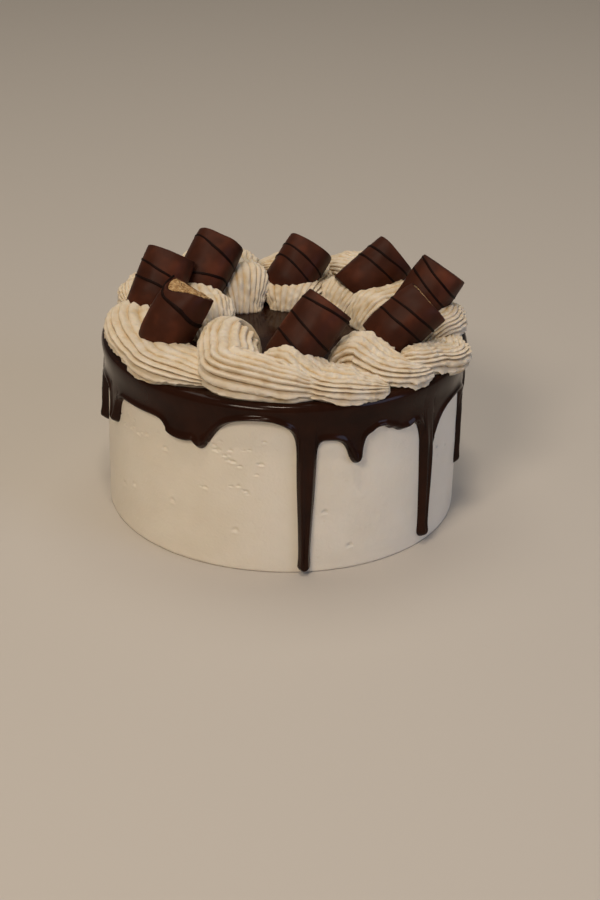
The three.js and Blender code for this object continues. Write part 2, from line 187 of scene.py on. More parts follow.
def noise(points, scale, seed):
    """Soft random values from -1 to 1 at points in mm; bumps are about scale mm wide."""
    shifted = points / scale + 1000.0
    cell = np.floor(shifted).astype(np.int64)
    part = shifted - cell
    part = part * part * (3.0 - 2.0 * part)
    total = np.zeros(points.shape[:-1])
    for corner in CORNERS:
        key = cell + np.array(corner)
        mixed = key[..., 0] * 73856093 ^ key[..., 1] * 19349663 ^ key[..., 2] * 83492791
        mixed = (mixed ^ (seed * 40503)) & 0xFFFFFFFF
        mixed = (mixed ^ (mixed >> 15)) * 0x2C1B3C6D & 0xFFFFFFFF
        mixed = (mixed ^ (mixed >> 12)) * 0x297A2D39 & 0xFFFFFFFF
        mixed = mixed ^ (mixed >> 15)
        weight = np.ones(points.shape[:-1])
        for axis in range(3):
            share = part[..., axis]
            weight = weight * (share if corner[axis] else 1.0 - share)
        total += weight * ((mixed & 0xFFFF) / 32767.5 - 1.0)
    return total


def uneven(points, layers, seed):
    """Sum of several noises, each given as its height and the width of its bumps in mm."""
    return sum(rise * noise(points, width, seed + k) for k, (rise, width) in enumerate(layers))


def ease(x):
    """Soft step from 0 to 1."""
    held = np.clip(x, 0.0, 1.0)
    return held * held * (3.0 - 2.0 * held)


def angle_between(a, b):
    """Difference of two angles in degrees, from -180 to 180."""
    return (a - b + 540.0) % 360.0 - 180.0


test_points = np.random.default_rng(1).uniform(0, 100, (2000, 3))
test_noise = noise(test_points, 5, 3)
print("noise runs from", test_noise.min().round(2), "to", test_noise.max().round(2))

# %% [markdown]
# ## From rings to a closed skin
#
# Every piece here is a stack of rings with the same number of points: round the cake, round a rope
# of cream, round a wafer piece. Blender could loft curves, but a grid of points worked out at once
# is faster and exact. The grid becomes four-sided faces, and a fan closes each end, so that the mesh
# is one closed body. If its volume comes out negative, the faces are turned over.

# %% Skin builder
def skin(rings, first_pole=None, last_pole=None):
    """Points and faces (four-sided, then three-sided) of a closed skin through rings in mm."""
    rows, size = rings.shape[:2]
    first = rings[0].mean(axis=0) if first_pole is None else np.array(first_pole, float)
    last = rings[-1].mean(axis=0) if last_pole is None else np.array(last_pole, float)
    points = np.concatenate([rings.reshape(-1, 3), first[None], last[None]])
    here = np.arange(size)
    after = (here + 1) % size
    row = np.arange(rows - 1)[:, None] * size
    quads = np.stack([row + here, row + after, row + after + size, row + here + size], axis=-1)
    quads = quads.reshape(-1, 4)
    pole = np.full(size, rows * size)
    top = (rows - 1) * size
    fans = np.concatenate([
        np.stack([after, here, pole], axis=-1),
        np.stack([top + here, top + after, pole + 1], axis=-1),
    ])
    triangles = np.concatenate([quads[:, :3], quads[:, [0, 2, 3]], fans])
    a, b, c = (points[triangles[:, k]] for k in range(3))
    if np.einsum("ij,ij->i", a, np.cross(b, c)).sum() < 0:
        quads = quads[:, ::-1]
        fans = fans[:, ::-1]
    return points, quads, fans


test_ring = np.array([[1.0, 0.0, 0.0], [0.0, 1.0, 0.0], [-1.0, 0.0, 0.0], [0.0, -1.0, 0.0]])
test_skin = skin(np.stack([test_ring, test_ring + [0.0, 0.0, 1.0]]))
print("a square box of two rings has", [len(part) for part in test_skin], "points, quads, triangles")

# %% [markdown]
# ## From skins to a piece
#
# A piece of the cake can have more than one skin, as a coat with its drizzle has, and each skin has
# a finish of its own. Objects could be joined for that, but here all points and faces are handed
# to Blender in one go. The new object is told which body it rides on and which plain solid it takes
# the place of.

# %% Piece maker
def make_piece(name, skins, finishes, slot, *nodes):
    """One smooth-shaded object from skins, each with its own finish, in place of CAD nodes."""
    points = np.concatenate([part[0] for part in skins]) * MM
    corners, sizes, finish_of_face = [], [], []
    offset = 0
    for number, (part_points, quads, fans) in enumerate(skins):
        finish = min(number, len(finishes) - 1)
        corners += [(quads + offset).ravel(), (fans + offset).ravel()]
        sizes += [np.full(len(quads), 4), np.full(len(fans), 3)]
        finish_of_face.append(np.full(len(quads) + len(fans), finish))
        offset += len(part_points)
    corners = np.concatenate(corners)
    sizes = np.concatenate(sizes)
    starts = np.concatenate([[0], np.cumsum(sizes)[:-1]])
    mesh = bpy.data.meshes.new(name)
    mesh.vertices.add(len(points))
    mesh.vertices.foreach_set("co", points.ravel())
    mesh.loops.add(len(corners))
    mesh.loops.foreach_set("vertex_index", corners.astype(np.int32))
    mesh.polygons.add(len(starts))
    mesh.polygons.foreach_set("loop_start", starts.astype(np.int32))
    mesh.polygons.foreach_set("material_index", np.concatenate(finish_of_face).astype(np.int32))
    mesh.polygons.foreach_set("use_smooth", np.ones(len(starts), bool))
    mesh.update(calc_edges=True)
    mesh.validate()
    for finish in finishes:
        mesh.materials.append(finish.material)
    piece = bpy.data.objects.new(name, mesh)
    bpy.context.scene.collection.objects.link(piece)
    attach(piece, "root")
    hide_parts(*nodes)
    count = int((sizes - 2).sum())
    print(name, "has", count, "triangles")
    return piece


# %% [markdown]
# ## A workbench for finishes
#
# Each finish starts from the same shader and gets a colour that drifts between close tones, a
# roughness, and in most cases a fine grain as bump. The noise is read in the object's own
# coordinates, which are metres here, so its scale is a real size and stays the same on every piece.
# Wiring nodes takes many lines, so a small class keeps a material with its nodes and does the
# wiring in one place.

# %% A finish and what can be done to it
class Finish:
    """A material with one shader, and the ways used here to give it colour, gloss and relief."""

    def __init__(self, name, roughness, sheen_of_light):
        self.material = bpy.data.materials.new(name)
        self.material.use_nodes = True
        self.nodes = self.material.node_tree.nodes
        self.links = self.material.node_tree.links
        self.shader = self.nodes["Principled BSDF"].inputs
        self.shader["Roughness"].default_value = roughness
        self.shader["Specular IOR Level"].default_value = sheen_of_light
        self.place = self.nodes.new("ShaderNodeTexCoord").outputs["Object"]
        self.bumps = None

    def grain(self, size_mm, detail=2.0, roughness=0.55):
        """Noise with bumps of about size_mm; returns its value from 0 to 1."""
        texture = self.nodes.new("ShaderNodeTexNoise")
        texture.inputs["Scale"].default_value = 1.0 / (size_mm * MM)
        texture.inputs["Detail"].default_value = detail
        texture.inputs["Roughness"].default_value = roughness
        self.links.new(self.place, texture.inputs["Vector"])
        return texture.outputs["Fac"]

    def colour(self, value, stops):
        """Colours at places from 0 to 1 along a value."""
        ramp = self.nodes.new("ShaderNodeValToRGB")
        self.links.new(value, ramp.inputs["Fac"])
        elements = ramp.color_ramp.elements
        elements[0].position, elements[0].color = stops[0]
        elements[1].position, elements[1].color = stops[-1]
        for position, colour in stops[1:-1]:
            added = elements.new(position)
            added.color = colour
        self.links.new(ramp.outputs["Color"], self.shader["Base Color"])

    def gloss(self, value, low, high):
        """Roughness that drifts between low and high."""
        spread = self.nodes.new("ShaderNodeMapRange")
        spread.inputs["From Min"].default_value = 0.3
        spread.inputs["From Max"].default_value = 0.7
        spread.inputs["To Min"].default_value = low
        spread.inputs["To Max"].default_value = high
        self.links.new(value, spread.inputs["Value"])
        self.links.new(spread.outputs["Result"], self.shader["Roughness"])

    def relief(self, value, depth_mm, strength):
        """Bump of about depth_mm from a value, on top of the bumps given before."""
        bump = self.nodes.new("ShaderNodeBump")
        bump.inputs["Distance"].default_value = depth_mm * MM
        bump.inputs["Strength"].default_value = strength
        self.links.new(value, bump.inputs["Height"])
        if self.bumps is not None:
            self.links.new(self.bumps, bump.inputs["Normal"])
        self.bumps = bump.outputs["Normal"]
        self.links.new(self.bumps, self.shader["Normal"])

    def let_light_in(self, weight, depth_mm, tint):
        """Light that enters, scatters inside and comes out nearby, as in cream and frosting."""
        self.shader["Subsurface Weight"].default_value = weight
        self.shader["Subsurface Radius"].default_value = tint
        self.shader["Subsurface Scale"].default_value = depth_mm * MM


print("a finish can have", [name for name in vars(Finish) if name[0] != "_"])

# %% [markdown]
# ## The frosting's finish
#
# Smooth buttercream, scraped flat: off-white with a warm drift so weak that it is felt more than
# seen, dull, and a little translucent, with a fine grain of air bubbles and scraper marks.

# %% Frosting finish
frosting = Finish("scraped_frosting", 0.55, 0.35)
cloudy = frosting.grain(22.0)
frosting.colour(cloudy, [
    (0.30, tone(234, 224, 206)),
    (0.70, tone(240, 231, 215)),
])
frosting.gloss(cloudy, 0.48, 0.62)
frosting.relief(frosting.grain(3.0), 0.22, 0.8)
frosting.relief(frosting.grain(1.2), 0.15, 0.8)
frosting.let_light_in(0.12, 2.0, (1.0, 0.7, 0.45))
print(frosting.material.name, "has", len(frosting.nodes), "nodes")

# %% [markdown]
# ## The frosted body
#
# A cylinder scraped by hand: its radius wanders by up to 0.3 mm, and air bubbles torn open by the
# scraper leave small crescent pits, in clusters, most of them at the front left, and singly
# elsewhere. The pits could be painted, but light catches real ones, so the grid of points is fine
# enough to hold them, finest where most of the pits are.

# %% Uneven wall
WALL_BUMPS = [(0.22, 28.0), (0.08, 9.0)]


def wall_radius(angle, height):
    """Radius of the frosted wall in mm at an angle in radians and a height."""
    points = np.stack([BODY_RADIUS * np.cos(angle), BODY_RADIUS * np.sin(angle), height], axis=-1)
    return BODY_RADIUS + uneven(points, WALL_BUMPS, 11)


print("the wall wanders by up to", round(sum(rise for rise, _ in WALL_BUMPS), 2), "mm")


# %% Pits in the frosting
PIT_WIDTH = 0.9
PIT_HEIGHT = 0.45
PIT_DEPTH = 0.85
PIT_BOW = 0.45
PIT_LIP = 0.35
PIT_LIP_PLACE = 1.7
# angle round the cake, height, spread in degrees, spread in height, how many
PIT_CLUSTERS = [
    (254.5, 60.0, 3.8, 4.5, 13),
    (262.8, 61.0, 2.0, 6.0, 6),
    (216.5, 56.5, 5.0, 3.0, 13),
    (246.0, 39.5, 1.5, 0.8, 2),
    (258.5, 42.0, 3.5, 1.8, 6),
    (334.0, 45.0, 4.0, 4.0, 4),
    (70.0, 48.0, 5.0, 4.0, 7),
    (140.0, 56.0, 4.0, 3.0, 6),
]
LONE_PITS = [
    (209.3, 21.6), (234.2, 27.5), (256.4, 20.3), (284.2, 30.5), (292.8, 11.8), (231.5, 52.5),
    (215.7, 25.2),
]
LONE_PIT_SIZE = 1.4
SPARSE_PITS = 70


def pit_places(seed):
    """Angle, height and size of every pit."""
    draw = np.random.default_rng(seed)
    pits = [(angle, height, LONE_PIT_SIZE) for angle, height in LONE_PITS]
    for angle, height, wide, tall, count in PIT_CLUSTERS:
        for _ in range(count):
            size = draw.uniform(0.6, 1.2)
            pits.append((angle + wide * draw.normal(), height + tall * draw.normal(), size))
    for _ in range(SPARSE_PITS):
        pits.append((draw.uniform(0, 360), draw.uniform(6, 64), draw.uniform(0.35, 0.7)))
    return pits


def pit_relief(angle, height):
    """How far the pits push the wall in, with a small lip below each."""
    depth = np.zeros_like(angle)
    degrees = np.degrees(angle)
    for pit_angle, pit_height, size in pit_places(5):
        across = np.radians(angle_between(degrees, pit_angle)) * BODY_RADIUS / (PIT_WIDTH * size)
        near = np.abs(across) < 2.2
        rise = (height[near] - pit_height) / (PIT_HEIGHT * size) + PIT_BOW * across[near] ** 2
        bowl = np.exp(-across[near] ** 2 - rise ** 2)
        lip = np.exp(-across[near] ** 2 - (rise + PIT_LIP_PLACE) ** 2)
        depth[near] -= size * (PIT_DEPTH * bowl - PIT_LIP * lip)
    return depth


print(len(pit_places(5)), "pits in the frosting")


# %% Grid over the wall
def stepped(stops):
    """Places from a first value through (end, step) pairs."""
    places = [stops[0]]
    for end, step in stops[1:]:
        count = max(1, round((end - places[-1]) / step))
        places += list(np.linspace(places[-1], end, count + 1)[1:])
    return np.array(places)


FOOT_ROUND = 1.2
FOOT_TUCK = 0.8
INWARDS = np.array([0.9, 0.9, 1.0])
wall_angles = np.radians(stepped([205.0, (345.0, 0.31), (565.0, 1.2)])[:-1])
wall_heights = stepped([0.0, (1.2, 0.3), (36.0, 0.8), (67.0, 0.4), (BODY_TOP - 0.5, 2.0)])
angle_grid, height_grid = np.meshgrid(wall_angles, wall_heights)
radius_grid = wall_radius(angle_grid, height_grid) + pit_relief(angle_grid, height_grid)
foot = np.clip(1.0 - height_grid / FOOT_ROUND, 0.0, 1.0)
radius_grid -= FOOT_TUCK * FOOT_ROUND * (1.0 - np.sqrt(1.0 - foot ** 2))
wall = np.stack([radius_grid * np.cos(angle_grid), radius_grid * np.sin(angle_grid), height_grid], axis=-1)
body_rings = np.concatenate([wall[:1] * INWARDS, wall, wall[-1:] * INWARDS])
make_piece("frosted_body", [skin(body_rings)], [frosting], "frosting", "cake_body")

# %% [markdown]
# ## The ganache's finish
#
# Dark chocolate and cream, poured warm and set to a soft mirror. It is almost black with a brown
# warmth where light goes in, its roughness is low and drifts a little, so the highlights are long
# and slightly broken.

# %% Ganache finish
ganache_gloss = Finish("poured_ganache", 0.2, 0.13)
pools = ganache_gloss.grain(14.0)
ganache_gloss.colour(pools, [
    (0.30, tone(32, 15, 8)),
    (0.70, tone(46, 23, 13)),
])
ganache_gloss.gloss(pools, 0.10, 0.18)
ganache_gloss.relief(ganache_gloss.grain(5.0, detail=1.0), 0.12, 0.35)
print(ganache_gloss.material.name, "has", len(ganache_gloss.nodes), "nodes")

# %% [markdown]
# ## Where the ganache ends
#
# Poured over the rim, the ganache stops in a wavy skirt, and runs on in drips where more was
# pushed over the edge. Its lower edge is one function of the angle: a wave, raised by arches, that
# sinks on both sides towards every drip, as a liquid does that is drawn into a stream. A drip
# itself has steep sides and a round tip, which is drawn out on a narrow drip and blunt on one that
# has run down to the foot.

# %% Drips, waves and arches
MM_PER_DEGREE = math.radians(1.0) * BODY_RADIUS
SKIRT_EDGE = 66.25
FLARE_DEPTH = 18.0
ROUND_TIP = 4.0
TIP_LENGTH = 1.6
WIDE_DRIP = 5.0
FOOT_HEIGHT = 2.0
SIDE_SLOPE = 60.0
STEEP_FROM = 0.98
LOWEST_TIP = 0.8
# angle round the cake in degrees, height of the tip, half-width in degrees, then in mm how far
# the skirt reaches down beside the drip, on its left and on its right
DRIPS = [
    (16, 38, 2.2, 2.4, 3.2), (37, 52, 2.5, 3.0, 2.0), (61, 24, 2.4, 1.6, 2.8), (84, 47, 2.3, 2.6, 1.8),
    (109, 57, 4.6, 4.0, 3.0), (131, 18, 2.4, 2.0, 3.4), (154, 40, 2.3, 3.0, 2.2), (170, 56, 2.2, 2.0, 2.4),
    (184.5, 38, 2.3, 2.4, 1.5), (204.2, 50, 2.6, 1.7, 2.0), (238.4, 59.8, 6.3, 2.0, 3.2),
    (244.8, 58, 3.2, 3.8, 5.5), (278, LOWEST_TIP, 2.5, 1.0, 0.8), (293.5, 53.2, 2.2, 2.5, 1.0),
    (321.4, 3.8, 2.4, 1.8, 5.2), (351, 22.7, 1.7, 1.8, 2.4),
]
# height in mm, how many go round the cake, where they start in degrees
WAVES = [(0.3, 5, 0), (0.35, 11, 40)]
# angle, half-width in degrees, rise in mm
ARCHES = [(260, 13.5, 9.5), (301.7, 2.2, 1.8), (310.5, 3.3, -2.2), (97, 8, 6)]
print(len(DRIPS), "drips, the longest ends at a height of", LOWEST_TIP, "mm")


# %% Edge of the ganache
def ganache_edge(degrees):
    """Height of the ganache's lower edge in mm."""
    edge = SKIRT_EDGE
    for rise, count, start in WAVES:
        edge = edge + rise * np.sin(np.radians(count * degrees + start))
    for angle, half, rise in ARCHES:
        edge = edge + rise * np.exp(-0.7 * (np.abs(angle_between(degrees, angle)) / half) ** 4)
    sinking = np.zeros_like(edge)
    streams = np.full_like(edge, 200.0)
    for angle, tip, half, left, right in DRIPS:
        aside = angle_between(degrees, angle) * MM_PER_DEGREE
        wide = half * MM_PER_DEGREE
        beyond = np.maximum(np.abs(aside) - wide, 0)
        reach = np.where(aside < 0, left, right)
        rounding = min(wide, ROUND_TIP)
        sinking += (np.clip(edge - tip - rounding, 0, FLARE_DEPTH) * np.exp(-beyond / reach)) ** 3
        share = np.minimum(np.abs(aside) / wide, STEEP_FROM)
        tip_length = TIP_LENGTH * wide if wide < WIDE_DRIP and tip > FOOT_HEIGHT else rounding
        stream = tip + tip_length * (1 - np.sqrt(1 - share ** 2))
        stream += SIDE_SLOPE * np.maximum(np.abs(aside) - STEEP_FROM * wide, 0)
        streams = np.minimum(streams, stream)
    return np.maximum(LOWEST_TIP, np.minimum(edge - np.cbrt(sinking), streams))


print("at the front left the edge lies at", ganache_edge(np.array([225.0]))[0].round(1), "mm")


# %% Drips drawn narrower
NARROW_BELOW = 46.0
NECK_WIDTH = 0.70
DROP_WIDTH = 0.14


def drip_angle(degrees, height):
    """Angle after the drips are drawn narrower on their way down, with a fuller drop at the tip."""
    moved = np.array(degrees, float)
    high_up = ease((height - NARROW_BELOW) / 12.0)
    for angle, tip, half, _, _ in DRIPS:
        aside = angle_between(degrees, angle)
        above = height - tip
        share = NECK_WIDTH + (1 - NECK_WIDTH) * ease(above / 55.0)
        share += DROP_WIDTH * np.exp(-((above - 2.6) / 3.0) ** 2)
        near = 1 - ease((np.abs(aside) / half - 1.3) / 1.5)
        moved += aside * (share - 1) * near * (1 - high_up)
    return moved


angle, tip, half, _, _ = min(DRIPS, key=lambda drip: drip[1])
side = drip_angle(np.array([angle + half]), np.array([tip + 15.0]))[0]
print("the longest drip is", round(2 * (side - angle) * MM_PER_DEGREE, 1), "mm wide above its tip")


# %% Columns close together where the edge is steep
FINE_STEP = 0.02
PLAIN_COLUMNS = 1.1
DRIP_COLUMNS = 2.2
STEEP_COLUMNS = 7.0
fine_degrees = np.arange(0.0, 360.0, FINE_STEP)
fine_edge = ganache_edge(fine_degrees)
steepness = np.abs(np.gradient(fine_edge, fine_degrees)) / MM_PER_DEGREE
near_drip = np.zeros_like(fine_degrees)
for angle, _, half, _, _ in DRIPS:
    near_drip += np.abs(angle_between(fine_degrees, angle)) < 1.5 * half
columns_per_mm = PLAIN_COLUMNS + DRIP_COLUMNS * np.minimum(near_drip, 1)
columns_per_mm += np.minimum(0.12 * steepness, STEEP_COLUMNS)
columns_so_far = np.concatenate([[0.0], np.cumsum(columns_per_mm * FINE_STEP * MM_PER_DEGREE)])
column_count = int(columns_so_far[-1])
column_degrees = np.interp(
    np.arange(column_count) * columns_so_far[-1] / column_count,
    columns_so_far,
    np.append(fine_degrees, 360.0),
)
print("ganache has", column_count, "columns")

# %% [markdown]
# ## The ganache as a thick skin
#
# A set liquid meets the wall with a rounded lip, so its thickness grows with the distance to its
# own edge, like the side of a coin with a rolled rim. A search tree over points on the edge gives
# that distance for every point of the skin. Drips stand out a little more in their middle, and
# hang on to a fuller drop at the tip. A narrow drip is also thinner, and above an arch the edge
# rolls up into a stronger bead, which is where the light is caught.

# %% Distance to the edge
LIP_ROUND = 2.3
PATH_STEP = 0.08
PATH_OVERLAP = 1200
ganache_angles = np.radians(column_degrees)
edge_at_column = ganache_edge(column_degrees)
path = np.stack([np.radians(fine_degrees) * BODY_RADIUS, fine_edge], axis=-1)
path = np.concatenate([path, path[:1] + [2 * math.pi * BODY_RADIUS, 0]])
path_length = np.concatenate([[0.0], np.cumsum(np.hypot(*np.diff(path, axis=0).T))])
even = np.linspace(0, path_length[-1], int(path_length[-1] / PATH_STEP))
path = np.stack([np.interp(even, path_length, path[:, k]) for k in range(2)], axis=-1)
round_trip = np.array([2 * math.pi * BODY_RADIUS, 0.0])
path = np.concatenate([path[-PATH_OVERLAP:] - round_trip, path, path[:PATH_OVERLAP] + round_trip])
edge_tree = KDTree(len(path))
for index, (run, height) in enumerate(path):
    edge_tree.insert((run, height, 0.0), index)
edge_tree.balance()
print("edge is", round(path_length[-1]), "mm long")


# %% Rows down the outside
RIM_HEIGHT = 80.65
FLAT_RADIUS = 81.2
RIM_REACH = 4.36
RIM_RISE = GANACHE_TOP - RIM_HEIGHT
SKIRT_THICKNESS = 1.6
DRIP_BULGE = 1.1
row_offsets = np.array([
    0.0, 0.08, 0.2, 0.4, 0.65, 0.95, 1.3, 1.7, 2.15, 2.7, 3.4, 4.3, 5.5, 7.0,
    9.0, 12.0, 16.0, 21.0, 27.0, 34.0, 42.0, 50.0, 59.0, 68.0, 77.0, 200.0,
])
row_shares = (np.arange(len(row_offsets)) / (len(row_offsets) - 1)) ** 1.5
outer_height = edge_at_column + np.minimum(
    row_offsets[:, None],
    row_shares[:, None] * (RIM_HEIGHT - edge_at_column),
)
outer_angle = np.broadcast_to(ganache_angles, outer_height.shape)
edge_distance = np.array([
    edge_tree.find((angle * BODY_RADIUS, height, 0.0))[2]
    for angle, height in zip(outer_angle.ravel(), outer_height.ravel())
]).reshape(outer_height.shape)
edge_distance[0] = 0.0
print("the outside has", len(outer_height), "rows, up to", edge_distance.max().round(), "mm from the edge")


# %% How far a drip stands out
DRIP_TOP = 58.0
DRIP_FADE = 14.0
DRIP_SPREAD = 1.15
FULL_BULGE_FROM = 2.3
DROP_BULGE = 0.7
DROP_PLACE = 3.0
DROP_SIZE = 3.2


def below_skirt(height):
    """1 down on the drips, fading to 0 up in the skirt."""
    return 1 - ease((height - DRIP_TOP) / DRIP_FADE)


def drip_fullness(degrees, height):
    """How far a drip's middle stands out, with a drop near its tip, in mm."""
    out = np.zeros_like(height)
    for angle, tip, half, _, _ in DRIPS:
        x = angle_between(degrees, angle) / (DRIP_SPREAD * half)
        middle = np.maximum(1 - x * x, 0)
        drop = DROP_BULGE * np.exp(-((height - tip - DROP_PLACE) / DROP_SIZE) ** 2)
        fuller = 0.7 + 0.3 * ease((height - tip) / 50.0)
        bulge = (DRIP_BULGE * fuller + drop) * min(half / FULL_BULGE_FROM, 1.0)
        out = np.maximum(out, middle * bulge)
    return out * below_skirt(height)


print("drips grow out of the skirt between", DRIP_TOP + DRIP_FADE, "and", DRIP_TOP, "mm")


# %% Thickness of the skin
RIM_START = 71.0
BEAD = 1.1
BEAD_ON_ARCH = 0.8
BEAD_PLACE = 2.0
BEAD_WIDTH = 1.25
SLIM_BELOW = 2.2
SLIMNESS = 1.3
TIP_SPREAD = 1.3
TIP_ROUND = 3.2
TIP_THICKNESS = 0.7
SKIN_SWELL = 0.16
cover = np.sqrt(1 - (1 - np.clip(edge_distance / LIP_ROUND, 0, 1)) ** 2)
near_rim = ease((outer_height - RIM_START) / (RIM_HEIGHT - RIM_START))
rim_reach = FLAT_RADIUS + RIM_REACH - BODY_RADIUS
thickness = SKIRT_THICKNESS + (rim_reach - SKIRT_THICKNESS) * near_rim
bead = BEAD + BEAD_ON_ARCH * ease((edge_at_column - SKIRT_EDGE - 0.25) / 5.0)
rolled_edge = bead * np.exp(-((edge_distance - BEAD_PLACE) / BEAD_WIDTH) ** 2)
slim = np.ones_like(outer_height)
for angle, tip, half, _, _ in DRIPS:
    aside = np.abs(angle_between(np.degrees(outer_angle), angle)) / half
    thinner = SLIMNESS * max(1 - half / SLIM_BELOW, 0) * (1 - ease((aside - 1) / 0.8))
    slim = slim - thinner * below_skirt(outer_height)
    tip_share = np.clip((outer_height - tip) / TIP_ROUND, 0, 1)
    at_tip = TIP_THICKNESS + (1 - TIP_THICKNESS) * tip_share
    slim = slim * np.where(aside < TIP_SPREAD, at_tip, 1.0)
print("drips are thinned down to", slim.min().round(2), "of the full thickness")
outer_points = np.stack([
    BODY_RADIUS * np.cos(outer_angle), BODY_RADIUS * np.sin(outer_angle), outer_height,
], axis=-1)
thickness = thickness + SKIN_SWELL * noise(outer_points, 11.0, 21) * (1 - near_rim)
outer_radius = wall_radius(outer_angle, outer_height)
outer_radius = outer_radius + cover * (
    thickness + rolled_edge + drip_fullness(np.degrees(outer_angle), outer_height)
) * slim

# %% Rim, top and the hidden inside
RIM_ROWS = 8
TOP_ROWS = 12
SUNK = 0.7
HIDDEN_REACH = 4.0
HIDDEN_TOP = BODY_TOP - 0.8
TOP_SWELL = 0.14
rim_turn = np.radians(np.linspace(0, 90, RIM_ROWS + 1)[1:])[:, None]
uneven_rim = wall_radius(ganache_angles, np.full(column_count, RIM_HEIGHT)) - BODY_RADIUS
rim_radius = FLAT_RADIUS + (RIM_REACH + uneven_rim) * np.cos(rim_turn)
rim_height = RIM_HEIGHT + RIM_RISE * np.sin(rim_turn) * np.ones(column_count)
top_radius = FLAT_RADIUS * np.linspace(1, 0, TOP_ROWS + 2)[1:-1, None] * np.ones(column_count)
top_height = np.full(top_radius.shape, GANACHE_TOP)
inner_radius = np.stack([
    wall_radius(ganache_angles, edge_at_column) - SUNK,
    np.full(column_count, BODY_RADIUS - SUNK - 0.4),
    np.full(column_count, BODY_RADIUS - HIDDEN_REACH),
])
inner_height = np.stack([
    edge_at_column + 0.05,
    np.full(column_count, BODY_TOP - 2.5),
    np.full(column_count, HIDDEN_TOP),
])
all_radius = np.concatenate([inner_radius[::-1], outer_radius, rim_radius, top_radius])
all_height = np.concatenate([inner_height[::-1], outer_height, rim_height, top_height])
all_angle = np.radians(drip_angle(np.broadcast_to(column_degrees, all_radius.shape), all_height))
ganache_rings = np.stack([
    all_radius * np.cos(all_angle), all_radius * np.sin(all_angle), all_height,
], axis=-1)
still = np.clip((all_height - RIM_HEIGHT) / RIM_RISE, 0, 1)
ganache_rings[..., 2] += TOP_SWELL * still * noise(ganache_rings, 24.0, 22)
make_piece(
    "poured_ganache",
    [skin(ganache_rings, (0, 0, HIDDEN_TOP), (0, 0, GANACHE_TOP))],
    [ganache_gloss],
    "ganache",
    "ganache",
)

# %% [markdown]
# ## The cream's finish
#
# Whipped cream cheese or butter cream. Its colour is paler on the crests and warmer in the creases,
# which is painted shade, warm as light that has travelled further inside. Its surface is dull with
# a fine torn grain. A node that reads how a surface bends would find the creases, but it isn't
# baked well. The rope's own rule knows them exactly, so each point of the mesh keeps how deep in a
# crease it lies, and an attribute node reads that value and darkens the colour by it: painted shade
# on top of a soft mottling.

# %% Cream finish
# How much the crease value darkens the cream's colour: painted shade in the creases.
PAINTED_CREASE_SHADE = 0.36
cream = Finish("piped_cream", 0.6, 0.3)
creases = cream.nodes.new("ShaderNodeAttribute")
creases.attribute_name = "crease"
crease_shaded_mottle = cream.nodes.new("ShaderNodeMath")
crease_shaded_mottle.operation = "MULTIPLY_ADD"
crease_shaded_mottle.inputs[1].default_value = -PAINTED_CREASE_SHADE
cream.links.new(creases.outputs["Fac"], crease_shaded_mottle.inputs[0])
cream.links.new(cream.grain(7.0, detail=3.0), crease_shaded_mottle.inputs[2])
# The low, warm end of these tones is the painted crease shade; the rest is the cream's mottling.
cream.colour(crease_shaded_mottle.outputs["Value"], [
    (0.05, tone(197, 166, 118)),
    (0.38, tone(216, 200, 174)),
    (0.70, tone(225, 214, 197)),
])
cream.relief(cream.grain(1.6, detail=3.0), 0.22, 0.5)
cream.relief(cream.grain(0.5), 0.08, 0.5)
cream.let_light_in(0.1, 1.4, (1.0, 0.62, 0.34))
print(cream.material.name, "has", len(cream.nodes), "nodes")

# %% [markdown]
# ## The path of the piping bag
#
# Each swirl is one stroke with a star nozzle: it starts further in, sweeps out towards the rim, and
# runs along it until the next swirl covers its tail. A stroke is given by a few places that it
# passes, seen from above, and a smooth curve is laid through them. Blender has curves for this, but
# the points are needed as numbers, and the rule takes a few lines.

# %% Strokes
# places passed in mm, half-width and height of the rope, its size at the start, how much it thins
# out and flattens along its way, and how torn its crests are where that isn't 1
STROKES = [
    dict(path=[(-43, -13.5), (-53, -7), (-65, -9), (-65.3, -19.5), (-56.7, -39.6), (-50.7, -49.6),
               (-37.3, -57.6), (-26.4, -62.4)],
         width=16.4, height=16.6, start=0.74, thin=0.06, flat=0.38, tear=0.45),
    dict(path=[(-8, -41), (-15.2, -38.4), (-23.4, -40), (-24.4, -49.7), (-22.5, -61.7),
               (-20.8, -67.5), (-4.7, -72.8), (8, -74), (20, -71.5)],
         width=14.2, height=21.1, start=0.6, thin=0.4, flat=0.1, tear=0.5),
    dict(path=[(-6, -52), (-0.5, -59.2), (17.3, -67.7), (30.3, -67.2), (37, -66.5), (46.8, -64.6)],
         width=15, height=18.6, start=1.0, thin=0.26, flat=0.45),
    dict(path=[(20.5, -43), (35, -45), (48, -51), (57, -49.5), (62.8, -44), (66, -36.3)],
         width=15.8, height=17.8, start=0.81, thin=0.59, flat=0.43),
    dict(path=[(52, -38), (59.4, -42), (68.2, -35.4), (74.8, -29), (74.9, -13), (71, -5)],
         width=10.6, height=10.6, start=0.79, thin=0.39, flat=0.31),
    dict(path=[(60, -6), (67, -7), (72, -1), (71, 12), (64, 26)],
         width=13, height=13, start=0.7, thin=0.2),
    dict(path=[(31, 2), (44, 10), (58, 24), (60, 37), (50, 50)],
         width=15, height=16, start=0.7, thin=0.2),
    dict(path=[(20, 18), (33, 33), (43, 49), (38, 61), (14, 70)],
         width=15, height=14, start=0.65, thin=0.1),
    dict(path=[(0, 19), (4, 36), (8, 58), (0, 68), (-16, 69)],
         width=15, height=13, start=0.65, thin=0.2),
    dict(path=[(-19, 15), (-23, 34), (-31, 56), (-42, 58), (-54, 47)],
         width=15, height=20, start=0.6, thin=0.2),
    dict(path=[(-32, -19), (-37, -4), (-46, 14), (-60, 28), (-68, 20), (-69, 4)],
         width=14, height=18.5, start=0.7, thin=0.2),
]
print(len(STROKES), "strokes")


# %% A smooth curve in even steps
CURVE_STEPS = 1200
STROKE_STEPS = 900
HAND_WOBBLE = 0.5


